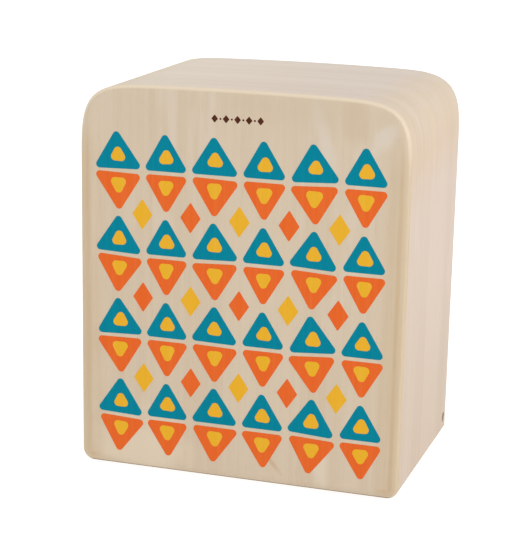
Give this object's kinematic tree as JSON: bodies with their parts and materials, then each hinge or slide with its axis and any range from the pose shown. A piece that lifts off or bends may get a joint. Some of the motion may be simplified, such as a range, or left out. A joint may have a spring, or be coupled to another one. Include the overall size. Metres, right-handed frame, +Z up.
{
  "type": "children's cajon",
  "caption": "Small child's cajon: bent plywood seat and sides, thin playing panel with a triangle print, round sound hole at the back, snare wires inside.",
  "frame": {"origin": "centre of the overall box's underside, on the surface the feet stand on", "axes": "+X to the player's right hand side when facing the playing panel, +Z up towards the seat; the playing panel faces -Y and the sound hole faces +Y"},
  "size_m": [0.24, 0.17, 0.286],
  "materials": {
    "shell_wood": "clear satin lacquer over pale plywood",
    "front_wood": "clear satin lacquer over pale veneer, printed",
    "back_wood": "clear satin lacquer over plywood",
    "batten_wood": "raw planed wood",
    "bright_steel": "zinc plated",
    "dark_steel": "black oxide",
    "foot_rubber": "matt"
  },
  "bodies": {
    "root": {"body_shell": "shell_wood", "base_board": "shell_wood", "front_panel": "front_wood", "back_panel": "back_wood", "front_batten_left": "batten_wood", "front_batten_right": "batten_wood", "front_batten_top": "batten_wood", "front_batten_bottom": "batten_wood", "back_batten_left": "batten_wood", "back_batten_right": "batten_wood", "back_batten_top": "batten_wood", "back_batten_bottom": "batten_wood", "foot_front_left": "foot_rubber", "foot_front_right": "foot_rubber", "foot_rear_left": "foot_rubber", "foot_rear_right": "foot_rubber", "back_screw_1": "bright_steel", "back_screw_2": "bright_steel", "back_screw_3": "bright_steel", "back_screw_4": "bright_steel", "back_screw_5": "bright_steel", "back_screw_6": "bright_steel", "back_screw_7": "bright_steel", "back_screw_8": "bright_steel", "side_screw_left": "dark_steel", "side_screw_right": "dark_steel", "snare_rail": "batten_wood", "snare_plate": "bright_steel", "snare_screw_left": "bright_steel", "snare_screw_right": "bright_steel", "snare_wire_01": "bright_steel", "snare_wire_02": "bright_steel", "snare_wire_03": "bright_steel", "snare_wire_04": "bright_steel", "snare_wire_05": "bright_steel", "snare_wire_06": "bright_steel", "snare_wire_07": "bright_steel", "snare_wire_08": "bright_steel", "snare_wire_09": "bright_steel", "snare_wire_10": "bright_steel", "snare_wire_11": "bright_steel", "snare_wire_12": "bright_steel"}
  },
  "joints": []
}
